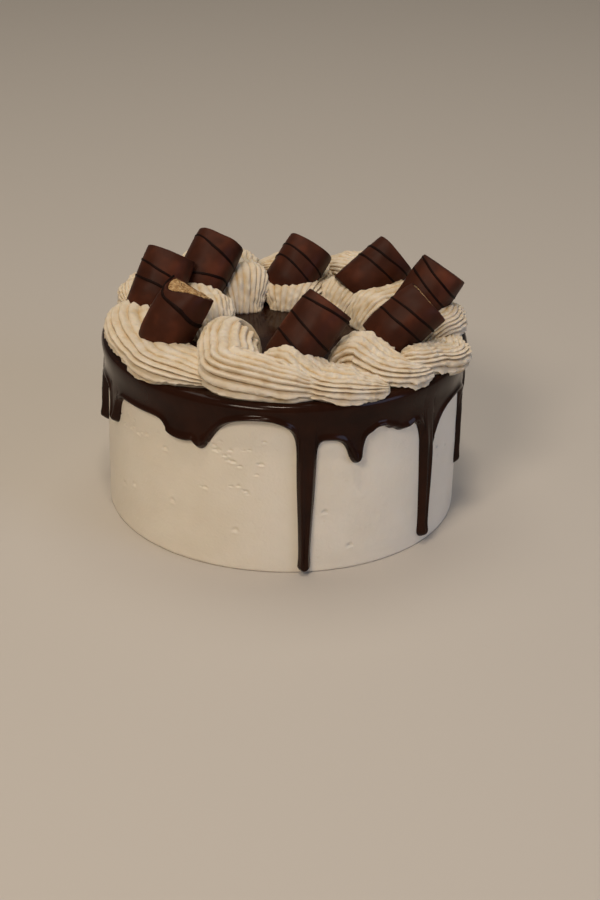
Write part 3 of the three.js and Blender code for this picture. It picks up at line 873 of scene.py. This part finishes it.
def smooth_path(places, count):
    """A smooth curve through the places, in count points."""
    places = np.array(places, float)
    padded = np.concatenate([[2 * places[0] - places[1]], places, [2 * places[-1] - places[-2]]])
    t = np.linspace(0, len(places) - 1, count)
    first = np.minimum(t.astype(int), len(places) - 2)
    s = (t - first)[:, None]
    a, b, c, d = (padded[first + k] for k in range(4))
    bent = (2 * a - 5 * b + 4 * c - d) * s ** 2 + (3 * b - a - 3 * c + d) * s ** 3
    return b + 0.5 * ((c - a) * s + bent)


def even_stroke(stroke, seed):
    """Distance, place, heading and bend at even steps along a stroke, with a slight hand wobble."""
    dense = smooth_path(stroke["path"], CURVE_STEPS)
    run = np.concatenate([[0.0], np.cumsum(np.hypot(*np.diff(dense, axis=0).T))])
    distance = np.linspace(0, run[-1], STROKE_STEPS)
    place = np.stack([np.interp(distance, run, dense[:, k]) for k in range(2)], axis=-1)
    samples = np.stack([distance, distance * 0, distance * 0], axis=-1)
    for k in range(2):
        place[:, k] += HAND_WOBBLE * noise(samples, 16.0, seed + k)
    heading = np.unwrap(np.arctan2(np.gradient(place[:, 1]), np.gradient(place[:, 0])))
    kernel = np.exp(-0.5 * (np.linspace(-2.5, 2.5, 41)) ** 2)
    padded = np.pad(heading, 20, mode="edge")
    heading = np.convolve(padded, kernel / kernel.sum(), mode="valid")
    bend = np.gradient(heading, distance)
    return distance, place, heading, bend


print("strokes in mm:", [round(even_stroke(stroke, 0)[0][-1]) for stroke in STROKES])

# %% [markdown]
# ## A rope of cream
#
# The star nozzle leaves ridges that run along the rope. They could be pushed up by a displacement
# texture, but the ridges crowd together inside each turn and spread outside it, so they are part of
# the section itself: a round arch whose radius dips in narrow creases. They turn slowly round the
# rope along its way, and are calmer on its crown, where the nozzle has smoothed them. Where a
# stroke starts, the cream wells up from the floor before it is drawn away. So the first sections
# lie flat and rise about a line on the floor, until the section stands upright. The crests are
# finely torn, and the lowest ridge is frayed into a frill.

# %% Course of a rope
HEAD_ROWS = 0.2
HEAD_SHORTNESS = 0.8
TAIL_SIZE = 0.3
HAND_PULSE = 0.03
CREAM_TWIST = 0.5


def rope_course(stroke, rows, seed):
    """For every section of a rope: where it stands, how it leans, and how wide and high it is."""
    distance, place, heading, bend = even_stroke(stroke, seed)
    total = distance[-1]
    head_rows = int(rows * HEAD_ROWS)
    pivot = HEAD_SHORTNESS * stroke["height"]
    rise = np.linspace(0, 1, head_rows, endpoint=False)
    lying = np.concatenate([rise, np.ones(rows - head_rows)])
    places = np.concatenate([pivot * (0.7 + 0.3 * rise), np.linspace(pivot, total, rows - head_rows)])
    share = places / total
    walk = np.arange(rows) * total / rows
    tail = TAIL_SIZE + (1 - TAIL_SIZE) * np.sqrt(np.clip((total - places) / stroke["width"], 0, 1))
    pulse = 1 + HAND_PULSE * noise(np.stack([walk, walk * 0, walk * 0], -1), 6.5, seed + 3)
    size = (stroke["start"] + (1 - stroke["start"]) * ease(lying)) * tail * pulse
    size = size * (1 - stroke["thin"] * ease((share - 0.45) / 0.55))
    flatter = 1 - stroke.get("flat", 0) * ease((share - 0.15) / 0.4)
    course = dict(
        x=np.interp(places, distance, place[:, 0]),
        y=np.interp(places, distance, place[:, 1]),
        way=np.interp(places, distance, heading),
        turn=np.maximum(np.interp(places, distance, bend), 0),
        tilt=(1 - lying) * math.pi / 2,
        half=stroke["width"] * size,
        crown=stroke["height"] * size * flatter,
        twist=CREAM_TWIST * (np.maximum(places - pivot, 0) / total),
        lying=lying,
        walk=walk,
    )
    return {name: value[:, None] for name, value in course.items()}


first_course = rope_course(STROKES[0], 100, 0)
print("the first rope is up to", 2 * first_course["half"].max().round(1), "mm wide")


# %% Section of a rope
CREAM_BELLY = 0.38
CREAM_FULLNESS = 0.88
CROWN_CALM = 0.4
BEND_CROWDING = 1.15
CROWN_PAST = 0.35
CREASE_WANDER = 0.07
DEPTH_CHANGE = 0.35
UNDERSIDE_COLUMNS = 14


def turn_round(columns):
    """Angles round a section, close together over the arch and wide apart underneath."""
    return np.concatenate([
        np.linspace(-CROWN_PAST, math.pi + CROWN_PAST, columns - UNDERSIDE_COLUMNS, endpoint=False),
        np.linspace(math.pi + CROWN_PAST, 2 * math.pi - CROWN_PAST, UNDERSIDE_COLUMNS, endpoint=False),
    ])[None]


def ridged_section(course, around, ridges, ridge_depth, seed):
    """How deep in a crease each point lies, how far to the side in mm, and its share of the height."""
    unrolled = np.stack(np.broadcast_arrays(course["walk"], 16 * around, 0.0), axis=-1)
    wander = CREASE_WANDER * noise(unrolled, 11.0, seed + 4)
    crease = 1 - np.abs(np.cos(ridges * (around - course["twist"] + wander) / 2)) ** 0.75
    depth = ridge_depth * (1 + DEPTH_CHANGE * noise(unrolled, 7.0, seed + 8))
    depth = depth * (1 - CROWN_CALM * course["lying"] * ease((np.sin(around) - 0.5) / 0.5))
    ridge = 1 - depth * crease
    across = np.sign(np.cos(around)) * np.abs(np.cos(around)) ** CREAM_FULLNESS
    spread = course["half"] * across * ridge
    side = spread / (1 + np.maximum(0, spread * course["turn"] * BEND_CROWDING) ** 4) ** 0.25
    high = np.where(
        np.sin(around) >= 0,
        CREAM_BELLY + (1 - CREAM_BELLY) * np.abs(np.sin(around)) ** CREAM_FULLNESS * ridge,
        CREAM_BELLY * (1 + 1.9 * np.sin(around)),
    )
    return crease, side, high


print("a section has", turn_round(200).size, "points")


# %% Torn surface, set on the ganache
FINE_TEAR = 0.34
CREST_TEAR = 0.72
SOFT_LUMPS = 0.30
FRILL = 0.55
FRILL_PLACE = 0.2
CREAM_HANG = 3.6
CREAM_SINK = 0.25


def tear(rope, course, around, crease, high, amount, seed):
    """Moves the points of a rope out and in, as cream tears on its way through the nozzle."""
    fine = FINE_TEAR * noise(rope, 1.4, seed + 5)
    crests = CREST_TEAR * (1 - crease) * noise(rope, 2.2, seed + 6)
    lumps = SOFT_LUMPS * noise(rope, 8.0, seed + 7)
    frill = FRILL * noise(rope, 1.5, seed + 9) * np.exp(-((high - FRILL_PLACE) / 0.12) ** 2)
    torn = (amount * (fine + crests) + lumps) * np.clip(high * 3, 0, 1) + frill
    way, tilt = course["way"], course["tilt"]
    outward = np.sin(around) * np.sin(tilt)
    rope[..., 0] += (-np.sin(way) * np.cos(around) - np.cos(way) * outward) * torn
    rope[..., 1] += (np.cos(way) * np.cos(around) - np.sin(way) * outward) * torn
    rope[..., 2] += np.sin(around) * np.cos(tilt) * torn


def set_on_ganache(rope, high):
    """Lifts a rope on to the ganache and lets its foot hang over the rounded rim."""
    over = np.clip(np.hypot(rope[..., 0], rope[..., 1]) - FLAT_RADIUS, 0, RIM_REACH)
    drop = np.minimum(RIM_REACH - np.sqrt(RIM_REACH ** 2 - over ** 2), CREAM_HANG)
    low = 1 - np.clip(high / 0.5, 0, 1)
    rope[..., 2] += GANACHE_TOP - drop * low
    rope[..., 2] = np.maximum(rope[..., 2], GANACHE_TOP - CREAM_SINK - drop)


print("a rope can hang", CREAM_HANG, "mm over the rim")


# %% A whole swirl
def piped_swirl(stroke, rows, columns, ridges, ridge_depth, seed):
    """Rings of one piped swirl in mm, and crease depth of each point, 0 to 1, for the painted shade."""
    course = rope_course(stroke, rows, seed)
    around = turn_round(columns)
    crease, side, high = ridged_section(course, around, ridges, ridge_depth, seed)
    way, tilt = course["way"], course["tilt"]
    ahead = -HEAD_SHORTNESS * course["crown"] * high * np.sin(tilt)
    rope = np.stack([
        course["x"] - np.sin(way) * side + np.cos(way) * ahead,
        course["y"] + np.cos(way) * side + np.sin(way) * ahead,
        course["crown"] * high * np.cos(tilt),
    ], axis=-1)
    tear(rope, course, around, crease, high, stroke.get("tear", 1.0), seed)
    set_on_ganache(rope, high)
    return rope, crease ** 1.5


def keep_painted_crease_shade(piece, crease):
    """Keeps the crease value of every point with the mesh, for the finish to paint as crease shade."""
    layer = piece.data.attributes.new("crease", "FLOAT", "POINT")
    layer.data.foreach_set("value", np.append(crease.ravel(), [0.0, 0.0]).astype(np.float32))


# %% Pipe the wreath
FRONT_ROWS_AND_COLUMNS = (176, 200)
BACK_ROWS_AND_COLUMNS = (108, 172)
FRONT_SWIRLS = 5
FRONT_RIDGES = 19
BACK_RIDGES = 27
FRONT_RIDGE_DEPTH = 0.22
BACK_RIDGE_DEPTH = 0.12
for number, stroke in enumerate(STROKES, start=1):
    look = (*BACK_ROWS_AND_COLUMNS, BACK_RIDGES, BACK_RIDGE_DEPTH)
    if number <= FRONT_SWIRLS:
        look = (*FRONT_ROWS_AND_COLUMNS, FRONT_RIDGES, FRONT_RIDGE_DEPTH)
    rings, crease = piped_swirl(stroke, *look, seed=100 * number)
    swirl = make_piece(
        f"piped_swirl_{number:02d}", [skin(rings)], [cream], "cream", f"cream_swirl_{number:02d}",
    )
    keep_painted_crease_shade(swirl, crease)

# %% [markdown]
# ## Finishes of the wafer pieces
#
# The coat is milk chocolate with a satin skin: brown with a red warmth, darker in patches, and its
# lighter red-brown patches are painted sheen. The drizzle is darker chocolate with the same satin
# skin. Where a piece is broken, the filling shows: golden wafer and nut crumbs, dull and rough.

# %% Coat, drizzle and filling finishes
coat = Finish("satin_chocolate_coat", 0.5, 0.09)
# The coat's colour drifts with this noise: darker patches are its own tone, lighter red-brown ones are
# painted sheen.
patches_and_painted_sheen = coat.grain(13.0)
coat.colour(patches_and_painted_sheen, [
    (0.30, tone(55, 28, 18)),
    (0.52, tone(66, 34, 22)),
    (0.74, tone(92, 48, 31)),
])
coat.gloss(patches_and_painted_sheen, 0.42, 0.54)
coat.relief(coat.grain(4.0), 0.14, 0.5)
coat.relief(coat.grain(0.7), 0.04, 0.4)

drizzle_finish = Finish("dark_drizzle", 0.6, 0.04)
streaks = drizzle_finish.grain(3.0)
drizzle_finish.colour(streaks, [
    (0.30, tone(24, 12, 9)),
    (0.70, tone(34, 18, 13)),
])
drizzle_finish.gloss(streaks, 0.44, 0.56)

filling = Finish("wafer_crumb", 0.85, 0.2)
crumbs = filling.grain(1.5, detail=4.0, roughness=0.65)
filling.colour(crumbs, [
    (0.30, tone(106, 72, 42)),
    (0.46, tone(160, 125, 82)),
    (0.70, tone(204, 172, 126)),
])
filling.relief(crumbs, 0.5, 0.8)
filling.let_light_in(0.1, 1.0, (1.0, 0.6, 0.3))
for made in (coat, drizzle_finish, filling):
    print(made.material.name, "has", len(made.nodes), "nodes")

# %% [markdown]
# ## The wafer pieces
#
# Each is a short loaf of filled wafer in chocolate: flat below, arched above, softly rounded at its
# ends. Its width and depth are one function of the place along it, so the coat, the filling under
# the coat and the drizzle on top of it all follow the same form.

# %% Pieces, as the solid model places them
# centre of the flat side; turn, lean and roll in degrees; length; drizzle lines (place, slope), and
# how fat they are; which end is broken open, how far the break leans, how far the filling is proud
PIECE_WIDTH = 24.0
PIECE_DEPTH = 16.0
PIECE_CORNER = 2 / 2.6
PIECES = [
    dict(at=(-58.6, 6, 102.2), turn=-4.4, lean=26.6, roll=17.9, length=31.5,
         drizzle=[(-1, -0.08), (5.8, -0.16)]),
    dict(at=(-37.7, 25.7, 103.1), turn=2.5, lean=36.6, roll=25.2, length=30.8,
         drizzle=[(-6.9, 0.3), (7.6, -0.28)]),
    dict(at=(-48, -27.6, 99.9), turn=-22, lean=22, roll=21.5, length=30.8,
         drizzle=[(8.8, -0.52)], fat=1.6, open="upper", break_lean=0.55),
    dict(at=(3.8, 42.6, 95.3), turn=5.3, lean=33.2, roll=32.5, length=30.7,
         drizzle=[(-0.9, -0.23), (6.3, -0.17)], open="lower", break_lean=0.3),
    dict(at=(41.7, 33.9, 98.9), turn=1.3, lean=27.7, roll=48.5, length=29.9,
         drizzle=[(2.6, 0.13), (9.2, 0.19)]),
    dict(at=(66.1, 9, 99), turn=-14.9, lean=26.6, roll=27.9, length=30.5,
         drizzle=[(3.8, -0.32), (10.4, -0.3)]),
    dict(at=(54.9, -23.8, 97.9), turn=-21, lean=36, roll=38.7, length=30.3,
         drizzle=[(-1.6, 0.15), (5.5, 0.19)], open="upper", break_lean=0.1, proud=-0.5),
    dict(at=(11.6, -44.5, 100.1), turn=-18.5, lean=34.5, roll=26, length=33.5,
         drizzle=[(-8, -0.2), (1.7, -0.22), (13, 0.1)]),
]
print(len(PIECES), "pieces,", sum("open" in piece for piece in PIECES), "of them broken")


# %% From a piece's own axes to the cake's
BREAK_FADE = 6.0
BREAK_WIDTH = 14.0


def piece_matrix(piece):
    """From the piece's own axes (x across, y along, z out of the arch) to the cake's."""
    lean = math.radians(piece["lean"])
    stand = Matrix((
        (1, 0, 0),
        (0, math.sin(lean), -math.cos(lean)),
        (0, math.cos(lean), math.sin(lean)),
    )).to_4x4()
    turned = Matrix.Rotation(math.radians(piece["turn"]), 4, "Z")
    rolled = Matrix.Rotation(math.radians(-piece["roll"]), 4, "Z")
    return Matrix.Translation(piece["at"]) @ turned @ stand @ rolled


def set_in_place(piece, rings):
    """Rings in the piece's own axes, moved to its place on the cake."""
    matrix = np.array(piece_matrix(piece))
    return rings @ matrix[:3, :3].T + matrix[:3, 3]


def leaned(piece, rings):
    """Leans the broken end back on its left side, less and less along the piece."""
    along = np.clip(0.5 + rings[..., 1] / piece["length"], 0, 1)
    share = -((1 - along) ** 2) if piece.get("open") == "lower" else along ** 2
    left = np.clip((BREAK_FADE - rings[..., 0]) / BREAK_WIDTH, 0, 1)
    bent = rings.copy()
    bent[..., 1] -= piece.get("break_lean", 0.0) * share * left * rings[..., 2]
    return bent


tops = [set_in_place(piece, np.array([[0, piece["length"] / 2, 0]]))[0, 2] for piece in PIECES]
print("their upper ends stand at", [round(float(top)) for top in tops], "mm")


# %% Outline of the loaf
ARCH_COLUMNS = 66
BASE_COLUMNS = 12
BASE_SOFTNESS = 1.4
arch_angle = np.linspace(0, math.pi, ARCH_COLUMNS)
base_share = np.linspace(-1, 1, BASE_COLUMNS + 2)[1:-1]


def loaf_outline(wide, deep, floor_height):
    """Closed outlines, one for each width and depth given: the arch, then the flat base."""
    cos, sin = np.cos(arch_angle), np.sin(arch_angle)
    x = np.sign(cos) * np.abs(cos) ** PIECE_CORNER * wide[:, None]
    z = np.maximum(np.abs(sin) ** PIECE_CORNER * deep[:, None], floor_height[:, None])
    tuck = 1 - 0.05 * np.clip(1 - (z - floor_height[:, None]) / BASE_SOFTNESS, 0, 1) ** 2
    base_x = base_share[None] * wide[:, None] * 0.95
    base_z = np.broadcast_to(floor_height[:, None], base_x.shape)
    return np.concatenate([x * tuck, base_x], axis=1), np.concatenate([z, base_z], axis=1)


def loaf_size(piece, y, inset):
    """Half-width and depth of the piece at places along it."""
    v = np.clip(np.abs(y) / (piece["length"] / 2), 0, 1)
    wide = PIECE_WIDTH / 2 * (1 - 0.03 * v ** 4) - inset
    deep = PIECE_DEPTH * (1 - 0.22 * v ** 3) - inset
    return wide, deep


print("an outline has", ARCH_COLUMNS + BASE_COLUMNS, "points")


# %% Round ends and broken ends
COAT_THICKNESS = 1.4
COAT_WALL_DEPTH = 1.8
BREAK_BUMPS = [(0.45, 1.7), (0.25, 0.8)]
END_ROUND = 0.6
BROKEN_ROUND = 0.3 * END_ROUND
END_STEPS = 7
CAP_SHARES = np.array([0.88, 0.66, 0.42, 0.2])


def rounded_rows(half, lower_round, upper_round):
    """Places along a piece, and how far each lies inside its full outline near the rounded ends."""
    steps = 1 - np.cos(np.linspace(0, math.pi / 2, END_STEPS))
    middle = np.arange(-half + END_ROUND + 0.5, half - END_ROUND - 0.3, 0.6)
    places = np.concatenate([lower_round * steps - half, middle, (half - upper_round * steps)[::-1]])
    inset = np.zeros_like(places)
    for edge, radius in ((places + half, lower_round), (half - places, upper_round)):
        inset += radius * (1 - np.sqrt(np.clip(1 - (1 - np.clip(edge / radius, 0, 1)) ** 2, 0, 1)))
    return places, inset


def closed_end(ring, bulge, towards):
    """Smaller and smaller rings that close an end with a slight dome."""
    centre = ring.mean(axis=0)
    rings = []
    for share in CAP_SHARES:
        smaller = centre + (ring - centre) * share
        smaller[:, 1] += towards * bulge * (1 - share ** 2)
        rings.append(smaller)
    return rings


def broken_end(ring, towards, seed):
    """Where the coat is broken: its jagged inner edge, its thin wall, and what lies behind."""
    ring = ring + np.outer(uneven(ring, BREAK_BUMPS, seed), [0, 1, 0])
    centre = ring.mean(axis=0)
    reach = np.linalg.norm(ring - centre, axis=-1, keepdims=True)
    thin = centre + (ring - centre) * (1 - COAT_THICKNESS / reach)
    deeper = thin - [0, towards * COAT_WALL_DEPTH, 0]
    return [thin, deeper] + closed_end(deeper, 0.0, towards)


print("a piece of 30 mm has", len(rounded_rows(15.0, END_ROUND, END_ROUND)[0]), "rows between its ends")


# %% The chocolate coat
COAT_BUMPS = [(0.22, 7.0), (0.07, 2.5)]
END_BULGE = 0.35
END_WAVE = 0.32


def coat_rings(piece, seed):
    """The coat of a piece; at a broken end it turns inwards as a thin wall."""
    half = piece["length"] / 2
    opened = piece.get("open")
    rounds = [BROKEN_ROUND if opened == end else END_ROUND for end in ("lower", "upper")]
    y, inset = rounded_rows(half, *rounds)
    wide, deep = loaf_size(piece, y, inset)
    x, z = loaf_outline(wide, deep, inset)
    rings = np.stack([x, np.broadcast_to(y[:, None], x.shape), z], axis=-1)
    swell = uneven(rings, COAT_BUMPS, seed)
    out = rings - [0, 0, PIECE_DEPTH * 0.4]
    out[..., 1] = 0
    out /= np.linalg.norm(out, axis=-1, keepdims=True)
    rings = rings + out * swell[..., None]
    rings[..., 1] += END_WAVE * noise(rings, 6.0, seed + 2)
    rings = list(rings)
    for end, towards in (("lower", -1), ("upper", 1)):
        ring = rings[0] if towards < 0 else rings[-1]
        if opened == end:
            added = broken_end(ring, towards, seed + 3)
        else:
            added = closed_end(ring, END_BULGE, towards)
        rings = added[::-1] + rings if towards < 0 else rings + added
    return leaned(piece, np.stack(rings))


print("the first coat has", len(coat_rings(PIECES[0], 1)), "rings")


# %% The crumbly filling of a broken piece
FILLING_DEPTHS = np.array([4.0, 1.2, 0.3, 0.0])
FILLING_INSETS = np.array([1.6, 1.3, 1.3, 1.5])
FILLING_PROUD = 0.35
CRUMB_BUMPS = [(0.55, 2.6), (0.45, 1.1), (0.2, 0.6)]
crumb_shares = np.linspace(1, 0.04, 22)


def filling_rings(piece, seed):
    """A plug of wafer under the broken end, its face rough with crumbs."""
    towards = -1 if piece["open"] == "lower" else 1
    y = towards * (piece["length"] / 2 - FILLING_DEPTHS)
    wide, deep = loaf_size(piece, y, FILLING_INSETS)
    x, z = loaf_outline(wide, deep, FILLING_INSETS)
    rings = np.stack([x, np.broadcast_to(y[:, None], x.shape), z], axis=-1)
    face = rings[-1]
    centre = face.mean(axis=0)
    rings = list(rings)
    for share in crumb_shares[1:]:
        smaller = centre + (face - centre) * share
        heap = piece.get("proud", FILLING_PROUD) + uneven(smaller, CRUMB_BUMPS, seed)
        smaller[:, 1] += towards * heap
        rings.append(smaller)
    return leaned(piece, np.stack(rings))


print("filling reaches", FILLING_DEPTHS[0], "mm into a piece")

# %% [markdown]
# ## Drizzle
#
# Thin lines of darker chocolate, flicked across the pieces. A line is a low bead whose foot is
# sunk into the coat. It follows the arch from one lower corner to the other, wanders a little and
# is thicker in some places than in others.

# %% A bead of drizzle
DRIZZLE_HALF_WIDTH = 0.6
DRIZZLE_HEIGHT = 0.26
DRIZZLE_STEPS = 84
LINE_WANDER = 0.35
LINE_SWELL = 0.18
bead_turn = np.linspace(0, 2 * math.pi, 12, endpoint=False)


def drizzle_rings(piece, place, slope, seed):
    """Rings of one line of drizzle across the arch."""
    angle = np.linspace(0.03, math.pi - 0.03, DRIZZLE_STEPS)
    cos, sin = np.cos(angle), np.sin(angle)
    x_share = np.sign(cos) * np.abs(cos) ** PIECE_CORNER
    walk = np.stack([x_share * 12, sin * 8, np.full(DRIZZLE_STEPS, place)], axis=-1)
    y = place + slope * x_share * PIECE_WIDTH / 2 + LINE_WANDER * noise(walk, 7.0, seed)
    fat = piece.get("fat", 1.0) + LINE_SWELL * noise(walk, 4.0, seed + 1)
    wide, deep = loaf_size(piece, y, 0.0)
    x = x_share * wide
    z = np.abs(sin) ** PIECE_CORNER * deep
    line = np.stack([x, y, z], axis=-1)
    forward = np.gradient(line, axis=0)
    forward /= np.linalg.norm(forward, axis=-1, keepdims=True)
    along = np.array([0.0, 1.0, 0.0])
    out = np.cross(forward, along)
    out /= np.linalg.norm(out, axis=-1, keepdims=True)
    out *= np.sign((out * (line - [0, 0, 4])).sum(axis=-1, keepdims=True))
    aside = np.cross(out, forward)
    lift = np.where(np.sin(bead_turn) > 0, DRIZZLE_HEIGHT * np.sin(bead_turn), 0.5 * np.sin(bead_turn))
    flat = DRIZZLE_HALF_WIDTH * np.cos(bead_turn)
    rings = line[:, None] + aside[:, None] * (flat[None, :, None] * fat[:, None, None])
    rings = rings + out[:, None] * (lift[None, :, None] * fat[:, None, None])
    return leaned(piece, rings)


print("a line of drizzle is about", 2 * DRIZZLE_HALF_WIDTH, "mm wide")


# %% Make the eight pieces
for number, piece in enumerate(PIECES, start=1):
    seed = 2000 + 50 * number
    skins = [skin(set_in_place(piece, coat_rings(piece, seed)))]
    for line, (place_along, slope) in enumerate(piece["drizzle"]):
        beads = drizzle_rings(piece, place_along, slope, seed + 10 + line)
        skins.append(skin(set_in_place(piece, beads)))
    make_piece(
        f"coated_wafer_{number}", skins, [coat, drizzle_finish], "chocolate", f"wafer_piece_{number}",
    )
    if "open" in piece:
        crumbs_skin = skin(set_in_place(piece, filling_rings(piece, seed + 30)))
        make_piece(f"wafer_filling_{number}", [crumbs_skin], [filling], "wafer", f"wafer_core_{number}")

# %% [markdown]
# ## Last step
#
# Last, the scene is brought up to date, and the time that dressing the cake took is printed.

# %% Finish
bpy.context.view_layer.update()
print("dressed in", round(time.time() - started, 1), "s")
